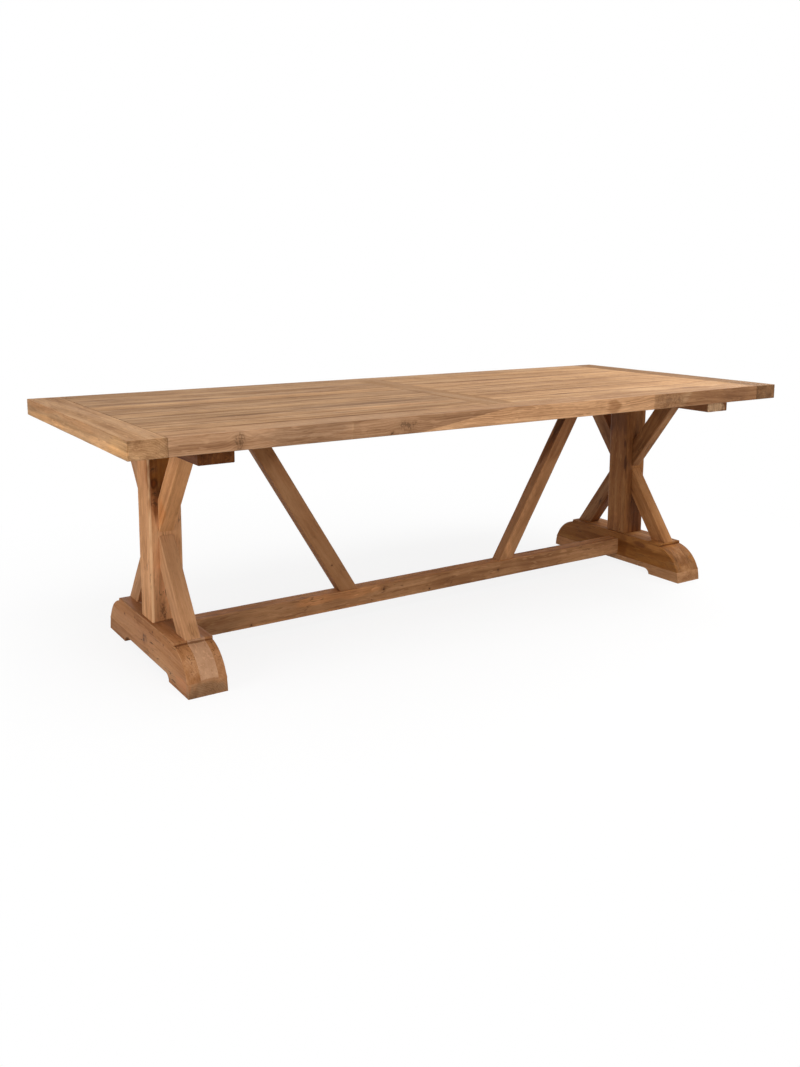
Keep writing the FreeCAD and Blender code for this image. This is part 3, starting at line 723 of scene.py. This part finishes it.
# Battens
# A short teak batten under the planks takes the head of each strut, and is screwed up into them.
# It is left as drawn, with its countersunk screw holes, and only gets its wood.
for side, seed in (("left", 2.3), ("right", 3.1)):
    batten_teak = teak(
        side + "_batten_teak", (0.46, 0.265, 0.140), (0.33, 0.170, 0.085), (0.17, 0.078, 0.036),
        cad_grain=((0.0, 0.0, math.radians(-90)), (seed, 0.06, -0.60)))
    dress(side + "_batten", batten_teak)

# Planks of the top
# Eight tongued and grooved teak boards fill each half of the top, all of different widths and
# from different old beams, so each has its own tone. Their upper edges are eased.
top_height, top_thickness = 0.770, 0.052
end_board_width, rail_width, cross_board_width = 0.105, 0.095, 0.105
half_length, half_width = 1.250, 0.500
seam, seam_stain = 0.0014, 0.006
seam_dirt = (0.12, 0.056, 0.026)
left_planks = ((85, 0.93, 0.1), (95, 0.95, -0.1), (105, 0.82, 0.0), (93, 0.90, 0.1), (108, 0.87, -0.1),
               (107, 0.93, 0.2), (122, 0.87, 0.0), (95, 0.93, 0.0))
right_planks = ((96, 1.02, 0.1), (119, 1.08, 0.1), (102, 0.94, 0.2), (116, 0.99, 0.1), (84, 0.93, 0.2),
                (93, 1.02, 0.2), (100, 0.92, 0.1), (100, 0.98, 0.2))
heavy, light_stain, bright = (0.62, 0.56, 0.50), (0.80, 0.76, 0.72), (1.14, 1.12, 1.10)
left_marks = ((-1.06, 0.335, 0.07, 0.016, heavy), (-0.31, 0.285, 0.13, 0.018, light_stain),
              (-0.88, 0.194, 0.22, 0.018, heavy), (-0.44, 0.194, 0.15, 0.018, light_stain),
              (-0.40, 0.087, 0.32, 0.014, light_stain), (-0.48, -0.011, 0.15, 0.007, heavy),
              (-0.195, -0.120, 0.030, 0.014, heavy), (-0.38, -0.178, 0.33, 0.026, heavy),
              (-0.79, -0.220, 0.16, 0.020, heavy), (-1.05, -0.376, 0.06, 0.014, light_stain),
              (-0.33, -0.268, 0.28, 0.025, bright), (-0.60, 0.140, 0.50, 0.020, bright),
              (-0.60, -0.399, 0.50, 0.013, heavy))
right_marks = ((0.52, 0.194, 0.45, 0.022, heavy), (0.60, 0.020, 0.45, 0.030, light_stain),
               (0.80, 0.078, 0.04, 0.014, light_stain), (0.22, -0.120, 0.16, 0.014, heavy),
               (0.38, -0.194, 0.32, 0.014, heavy), (0.35, -0.306, 0.06, 0.012, heavy),
               (0.87, -0.395, 0.08, 0.012, heavy), (0.50, -0.397, 0.10, 0.010, light_stain),
               (0.82, -0.192, 0.22, 0.012, light_stain), (0.42, -0.080, 0.16, 0.014, light_stain))
woods = {}
for side, marks in (("left", left_marks), ("right", right_marks)):
    woods[side] = teak(
        side + "_plank_teak", (0.58, 0.345, 0.175), (0.44, 0.242, 0.113), (0.20, 0.092, 0.036), figure=0.35,
        flecks=0.35, edge_tint=seam_dirt, edge_share=0.75, patches=face_marks("z", top_height, 0.03, marks))
top_middle = top_height - top_thickness / 2
bays = (("left", left_planks, -half_length + end_board_width, -cross_board_width / 2),
        ("right", right_planks, cross_board_width / 2, half_length - end_board_width))
for side, planks, start, end in bays:
    front = -half_width + rail_width
    seed = 50.0 if side == "left" else 70.0
    for number, (width, tone, warmth) in enumerate(planks, start=1):
        width = width / 1000
        middle = Vector(((start + end) / 2, front + width / 2, top_middle))
        cuts = ((Vector((start, 0, 0)), RIGHT), (Vector((end, 0, 0)), RIGHT))
        section = board_section(width, top_thickness, seam, stain=seam_stain)
        timber(f"{side}_plank_{number}", middle, RIGHT, BACK, section, cuts, seed, tone, warmth, woods[side],
               wear=0.0008, end_edges=(1.0, 0.3) if side == "left" else (0.3, 0.5))
        front += width
        seed += 1.1

# Middle cross board
# A teak board runs across the top between the two sets of planks, and is grooved for their ends.
# Its grain crosses theirs, and it is a little darker.
middle = Vector((0, 0, top_middle))
cuts = ((Vector((0, -half_width + rail_width, 0)), BACK), (Vector((0, half_width - rail_width, 0)), BACK))
section = board_section(cross_board_width, top_thickness, seam)
tight_section = [(point, normal, edge * 0.3) for point, normal, edge in section]
cross_board_teak = teak(
    "cross_board_teak", (0.50, 0.290, 0.145), (0.43, 0.236, 0.110), (0.25, 0.120, 0.048), figure=0.2,
    blotch=0.5, flecks=0.3, fibre=0.5, edge_tint=seam_dirt, edge_share=0.75,
    patches=[((-0.035, 0.0, top_height), (0.05, 0.06, 0.03), light_stain)])
timber("middle_cross_board", middle, BACK, RIGHT, tight_section, cuts, 92.3, 0.78, 0.3, cross_board_teak,
       wear=0.0008)

# Long rails
# A teak board closes each long edge of the top, between the end boards. The front one shows old
# knots, a dark heartwood stretch and paler sapwood along its edge.
edge_dirt = (0.16, 0.075, 0.034)
outer_corner = 0.002
front_rail_teak = teak(
    "front_rail_teak", (0.60, 0.350, 0.182), (0.48, 0.262, 0.126), (0.24, 0.112, 0.047), figure=0.75,
    flecks=0.4, edge_tint=edge_dirt, edge_share=0.45,
    swells=[((-0.78, -half_width, 0.712), (0.20, 0.05, 0.060), 0.030)],
    knots=face_marks("y", -half_width, 0.02, [
        (-0.950, 0.742, 0.013, 0.022, 0.65), (-0.425, 0.744, 0.028, 0.014, 0.65),
        (-0.475, 0.724, 0.006, 0.004, 1.0), (0.665, 0.746, 0.050, 0.026, 0.45),
        (0.725, 0.746, 0.020, 0.024, 0.40)]),
    patches=face_marks("z", top_height, 0.004, [
        (0.68, -0.455, 0.52, 0.060, (0.88, 0.84, 0.76)),
        (-0.60, -0.455, 0.34, 0.060, (0.90, 0.92, 0.96))])
    + face_marks("y", -half_width, 0.012, [
        (0.408, 0.741, 0.036, 0.027, (0.68, 0.61, 0.54)),
        (-0.607, 0.752, 0.004, 0.014, (1.12, 1.13, 1.14)),
        (-1.00, 0.735, 0.14, 0.010, (0.88, 0.84, 0.80)),
        (-0.73, 0.738, 0.16, 0.050, (0.82, 0.83, 0.84)),
        (-0.74, 0.728, 0.13, 0.008, (0.86, 0.82, 0.78)),
        (-0.70, 0.752, 0.09, 0.007, (0.88, 0.84, 0.80))]),
    front_bands=[(-1.145, 0.0, -0.608, 0.0, 0.006, (1.06, 1.04, 1.10)),
                 (-0.604, 0.0, -0.215, 6.4, 0.02, (0.92, 0.88, 0.90)),
                 (-0.215, 6.4, 0.600, 0.0, 0.02, (1.44, 1.41, 1.42)),
                 (0.600, 0.0, 0.750, 0.0, 0.07, (0.98, 0.91, 0.86)),
                 (0.960, 0.0, 1.085, 0.0, 0.08, (0.86, 0.84, 0.84)),
                 (0.770, 0.6, 1.160, 0.0, 0.04, (0.77, 0.67, 0.60))])
section = board_section(rail_width, top_thickness, outer_corner)
for name, sign, seed, tone, finish in (("front_rail", -1, 95.0, 0.90, front_rail_teak),
                                       ("back_rail", 1, 97.0, 0.88, woods["left"])):
    middle = Vector((0, sign * (half_width - rail_width / 2), top_middle))
    reach = half_length - end_board_width
    cuts = ((Vector((-reach, 0, 0)), RIGHT), (Vector((reach, 0, 0)), RIGHT))
    timber(name, middle, RIGHT, BACK, section, cuts, seed, tone, 0.0, finish, wear=0.0010)

# End boards
# A full-width teak board closes each end of the top, on the tongues of planks and rails.
# Its sawn ends show at the long edges, with the year rings of an old beam.
end_board_teak = teak(
    "end_board_teak", (0.58, 0.340, 0.170), (0.44, 0.240, 0.113), (0.22, 0.100, 0.040), figure=0.3,
    flecks=0.4, edge_tint=edge_dirt, edge_share=0.45,
    patches=face_marks("x", -half_length, 0.01, [
        (0.30, 0.766, 0.26, 0.018, (1.00, 0.90, 0.80)),
        (-0.10, 0.760, 0.22, 0.014, (1.00, 0.91, 0.82)),
        (0.25, 0.730, 0.22, 0.014, (1.42, 1.38, 1.30)),
        (-0.33, 0.732, 0.20, 0.016, (1.44, 1.42, 1.38)),
        (0.00, 0.730, 0.16, 0.014, (1.26, 1.24, 1.20)),
        (-0.44, 0.744, 0.11, 0.030, (1.12, 1.10, 1.00))])
    + face_marks("y", -half_width, 0.01, [
        (-1.20, 0.742, 0.07, 0.040, (1.22, 1.22, 1.24)),
        (-1.225, 0.730, 0.026, 0.016, (1.22, 1.28, 1.34)),
        (1.20, 0.742, 0.08, 0.04, (1.34, 1.27, 1.30))]))
section = board_section(end_board_width, top_thickness, outer_corner)
for side, sign, seed, tone, warmth in (("left", -1, 101.0, 0.92, 0.2), ("right", 1, 104.0, 0.48, 0.7)):
    middle = Vector((sign * (half_length - end_board_width / 2), 0, top_middle))
    cuts = ((Vector((0, -half_width, 0)), BACK), (Vector((0, half_width, 0)), BACK))
    timber(side + "_end_board", middle, BACK, RIGHT, section, cuts, seed, tone, warmth, end_board_teak,
           wear=0.0010)

# Dowels and screws
# Turned hardwood dowels sit inside the braces' and struts' joints, out of sight.
# Zinc-plated countersunk screws hold bearers and battens to the top from below.
dowel_wood = teak("dowel_wood", (0.60, 0.44, 0.26), (0.50, 0.35, 0.20), (0.34, 0.22, 0.12),
                  cad_grain=((0.0, 0.0, 0.0), (0.3, 0.05, -0.6)))
for group in ("brace_dowels", "strut_dowels"):
    dress(group, dowel_wood)

screw_zinc = bpy.data.materials.new("screw_zinc")
screw_zinc.use_nodes = True
zinc_nodes, zinc_links = screw_zinc.node_tree.nodes, screw_zinc.node_tree.links
zinc_shader = zinc_nodes["Principled BSDF"]
zinc_shader.inputs["Metallic"].default_value = 1.0
zinc_spots = zinc_nodes.new("ShaderNodeTexNoise")
zinc_spots.inputs["Scale"].default_value = 420.0
zinc_spots.inputs["Detail"].default_value = 4.0
zinc_tone = zinc_nodes.new("ShaderNodeValToRGB")
zinc_tone.color_ramp.elements[0].position = 0.3
zinc_tone.color_ramp.elements[0].color = (0.34, 0.30, 0.22, 1)
zinc_tone.color_ramp.elements[1].position = 0.7
zinc_tone.color_ramp.elements[1].color = (0.62, 0.58, 0.47, 1)
zinc_dull = zinc_nodes.new("ShaderNodeMapRange")
zinc_dull.inputs["To Min"].default_value = 0.32
zinc_dull.inputs["To Max"].default_value = 0.6
zinc_links.new(zinc_spots.outputs[0], zinc_tone.inputs[0])
zinc_links.new(zinc_spots.outputs[0], zinc_dull.inputs[0])
zinc_links.new(zinc_tone.outputs[0], zinc_shader.inputs["Base Color"])
zinc_links.new(zinc_dull.outputs[0], zinc_shader.inputs["Roughness"])
for group in ("bearer_screws", "batten_screws"):
    dress(group, screw_zinc)


# Studio floor and light
# A wide white paper floor under a white surround, lit by six soft lamps: a large one high in front,
# one each at the left, the front, the back and the right, and a small one above the right end.
def seen_directly(tree):
    """Whether a ray comes straight from the camera, off a shiny surface or through a clear one."""
    path = tree.nodes.new("ShaderNodeLightPath")
    shiny_or_clear = tree.nodes.new("ShaderNodeMath")
    any_of_them = tree.nodes.new("ShaderNodeMath")
    for choice, first, second in (
            (shiny_or_clear, path.outputs["Is Glossy Ray"], path.outputs["Is Transmission Ray"]),
            (any_of_them, path.outputs["Is Camera Ray"], shiny_or_clear.outputs[0])):
        choice.operation = "MAXIMUM"
        tree.links.new(first, choice.inputs[0])
        tree.links.new(second, choice.inputs[1])
    return any_of_them.outputs[0]


bpy.ops.mesh.primitive_plane_add(size=60, location=(0, 0, -0.0005))
floor = bpy.context.object
floor.name = "studio_floor"
paper = bpy.data.materials.new("white_paper")
paper.use_nodes = True
paper_nodes, paper_links = paper.node_tree.nodes, paper.node_tree.links
paper_shader = paper_nodes["Principled BSDF"]
paper_shader.inputs["Roughness"].default_value = 0.9
paper_glow = paper_nodes.new("ShaderNodeEmission")
paper_glow.inputs["Strength"].default_value = 1.0
paper_seen = seen_directly(paper.node_tree)
paper_tone = paper_nodes.new("ShaderNodeMix")
paper_tone.data_type = "RGBA"
paper_tone.inputs[6].default_value = (0.45, 0.45, 0.45, 1)
paper_tone.inputs[7].default_value = (0.95, 0.95, 0.95, 1)
paper_links.new(paper_seen, paper_tone.inputs[0])
paper_links.new(paper_tone.outputs[2], paper_shader.inputs["Base Color"])
spot = paper_nodes.new("ShaderNodeTexCoord")
distance = paper_nodes.new("ShaderNodeVectorMath")
distance.operation = "LENGTH"
paper_links.new(spot.outputs["Object"], distance.inputs[0])
fade = paper_nodes.new("ShaderNodeMapRange")
fade.interpolation_type = "SMOOTHSTEP"
for socket, value in zip(fade.inputs[1:5], (0.7, 2.2, 0.86, 1.0)):
    socket.default_value = value
paper_links.new(distance.outputs["Value"], fade.inputs[0])
share = paper_nodes.new("ShaderNodeMath")
share.operation = "MULTIPLY"
paper_links.new(paper_seen, share.inputs[0])
paper_links.new(fade.outputs[0], share.inputs[1])
paper_mix = paper_nodes.new("ShaderNodeMixShader")
paper_links.new(share.outputs[0], paper_mix.inputs[0])
paper_links.new(paper_shader.outputs[0], paper_mix.inputs[1])
paper_links.new(paper_glow.outputs[0], paper_mix.inputs[2])
paper_links.new(paper_mix.outputs[0], paper_nodes["Material Output"].inputs["Surface"])
floor.data.materials.append(paper)

world = bpy.data.worlds.new("white_surround")
bpy.context.scene.world = world
world.use_nodes = True
sky_nodes, sky_links = world.node_tree.nodes, world.node_tree.links
around = sky_nodes["Background"]
around.inputs["Strength"].default_value = 0.27
around.inputs["Color"].default_value = (1.0, 0.98, 0.96, 1)
backdrop = sky_nodes.new("ShaderNodeBackground")
backdrop.inputs["Strength"].default_value = 1.0
backdrop.inputs["Color"].default_value = (1, 1, 1, 1)
sky_mix = sky_nodes.new("ShaderNodeMixShader")
sky_links.new(seen_directly(world.node_tree), sky_mix.inputs[0])
sky_links.new(around.outputs[0], sky_mix.inputs[1])
sky_links.new(backdrop.outputs[0], sky_mix.inputs[2])
sky_links.new(sky_mix.outputs[0], sky_nodes["World Output"].inputs["Surface"])


def softbox(name, place, target, size, power):
    """A square soft lamp aimed at a point."""
    lamp = bpy.data.lights.new(name, "AREA")
    lamp.size = size
    lamp.energy = power
    holder = bpy.data.objects.new(name, lamp)
    bpy.context.scene.collection.objects.link(holder)
    holder.location = place
    holder.rotation_euler = (Vector(target) - Vector(place)).to_track_quat("-Z", "Y").to_euler()


softbox("overhead_lamp", (-0.5, -2.2, 5.2), (0.1, 0, 0.7), 4.0, 195)
softbox("left_lamp", (-3.6, -0.6, 1.0), (-1.0, 0, 0.5), 1.8, 38)
softbox("front_lamp", (0.6, -6.0, 1.3), (0.1, 0, 0.4), 3.0, 80)
softbox("end_lamp", (1.9, -0.1, 2.07), (1.9, -0.1, 0), 0.8, 22)
softbox("back_lamp", (0.2, 5.2, 0.36), (0.1, 0, 0.36), 0.7, 70)
softbox("right_lamp", (3.2, 0.6, 0.55), (1.0, 0, 0.1), 0.9, 22)

# Camera
# It stands at the near left corner a little above the top, as in the photograph.
focal_pixels, photo_pixels_high, sensor_height = 1008.2, 1067, 36
eye = bpy.data.cameras.new("eye")
eye.lens = focal_pixels * sensor_height / photo_pixels_high
eye.shift_x = -0.00375
eye.shift_y = -0.09606
eye.clip_end = 200
eye_holder = bpy.data.objects.new("eye", eye)
bpy.context.scene.collection.objects.link(eye_holder)
eye_holder.matrix_world = (Matrix.Translation((-2.0253, -2.8997, 1.1729))
                           @ Matrix.Rotation(math.radians(-33.50), 4, "Z")
                           @ Matrix.Rotation(math.radians(90 - 8.78), 4, "X")
                           @ Matrix.Rotation(math.radians(0.24), 4, "Z"))
bpy.context.scene.camera = eye_holder
bpy.context.scene.view_settings.view_transform = "Standard"
